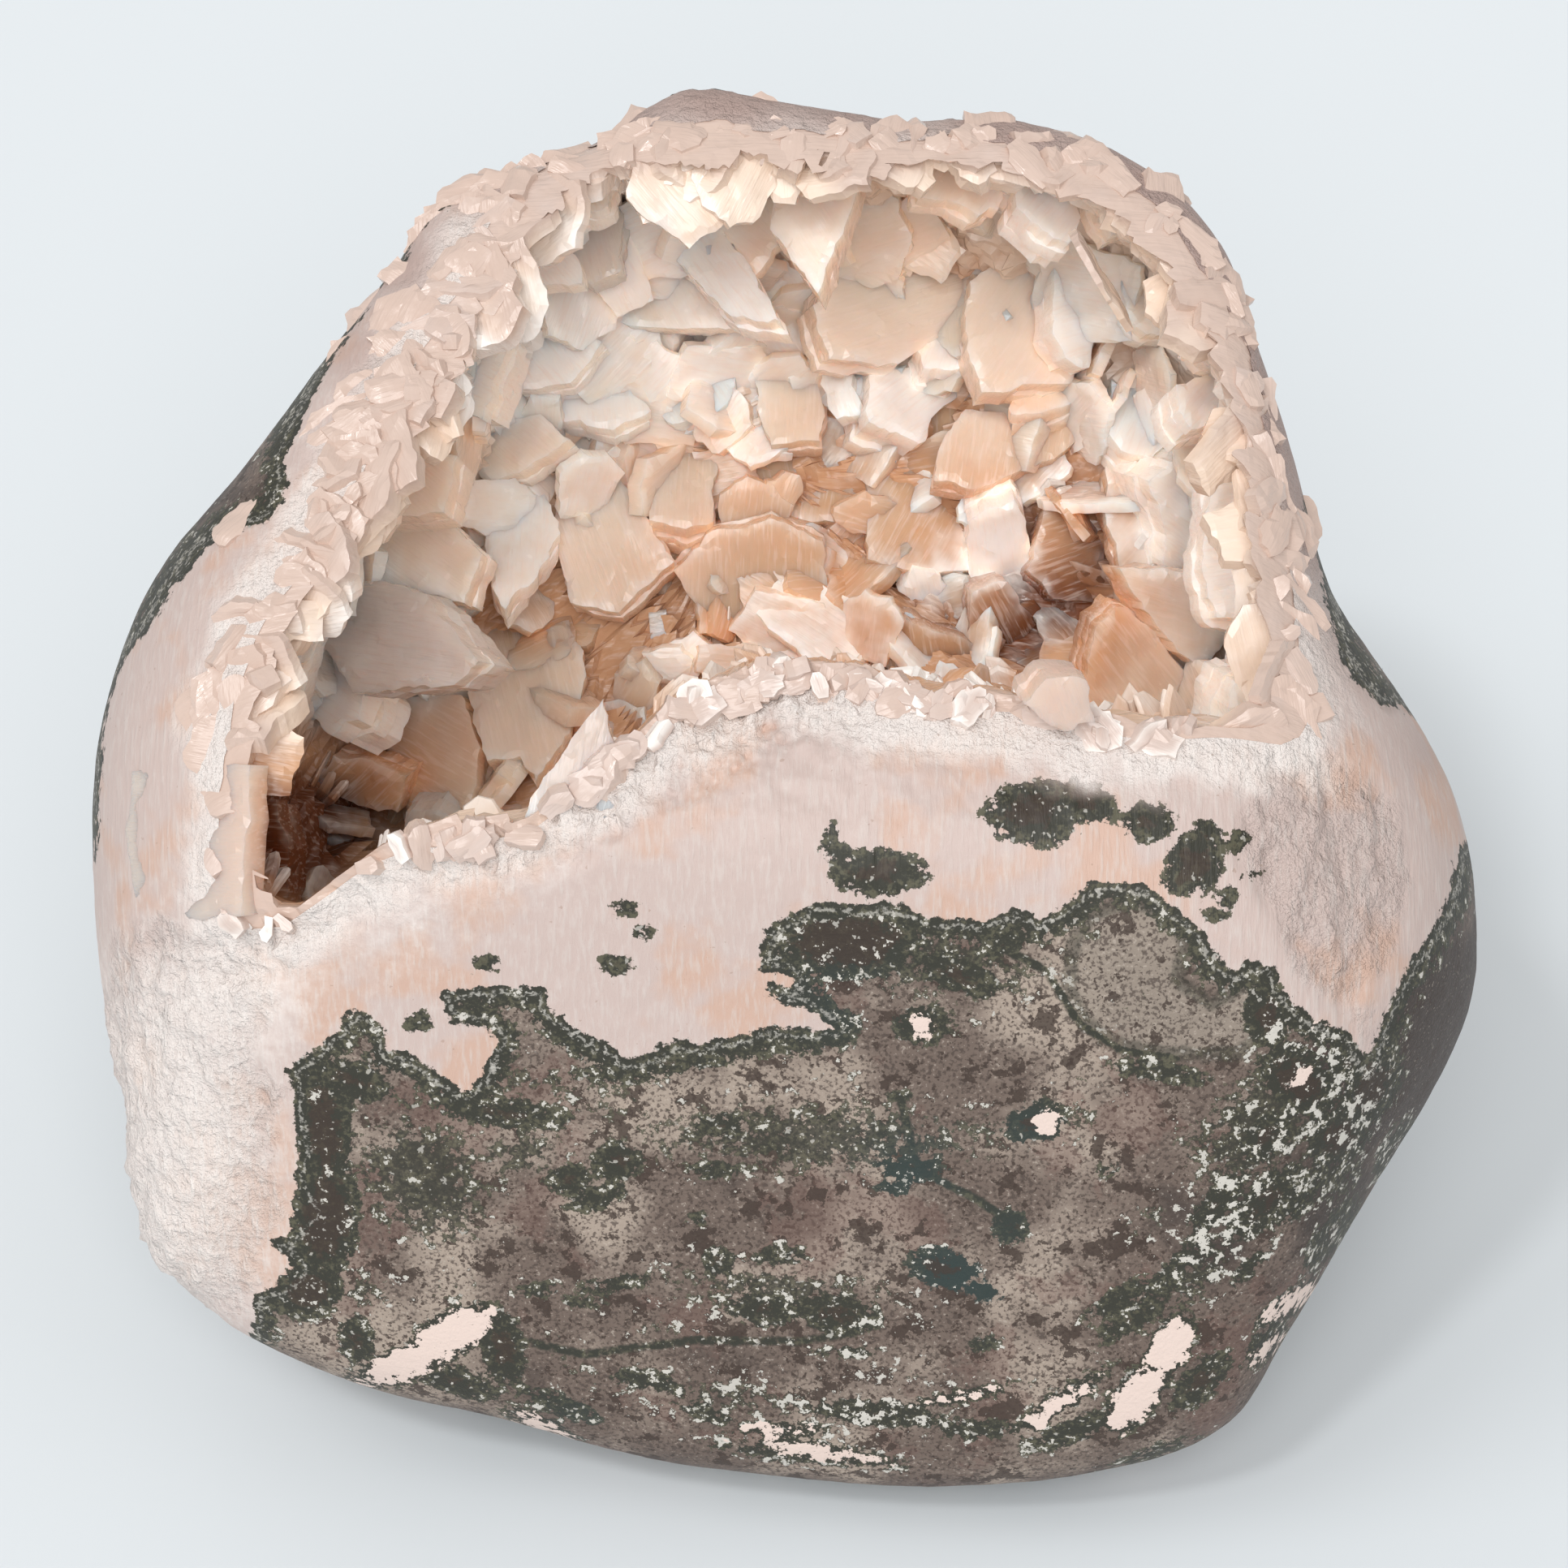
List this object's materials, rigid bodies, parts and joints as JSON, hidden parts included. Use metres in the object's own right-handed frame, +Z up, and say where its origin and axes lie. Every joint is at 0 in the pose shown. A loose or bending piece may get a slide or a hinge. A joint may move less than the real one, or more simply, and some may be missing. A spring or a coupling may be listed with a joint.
{
  "type": "mineral geode specimen",
  "caption": "Halved basalt nodule with a deep open hollow, lined with pale pink massive zeolite and covered inside with bladed peach heulandite crystals; rests on a flat ground base",
  "frame": {"origin": "on the flat ground base, straight below the middle of the stone", "axes": "+Z up, +X to the right, -Y to the front, where the ground face and the open side of the hollow are"},
  "size_m": [0.1494, 0.1218, 0.1205],
  "materials": {
    "basalt": "ground, satin, speckled",
    "lining": "ground, fine fibres, satin",
    "crystals": "pearly to glassy, translucent"
  },
  "bodies": {
    "root": {"basalt_matrix": "basalt", "heulandite_lining": "lining", "crystal_crust": "crystals"}
  },
  "joints": []
}
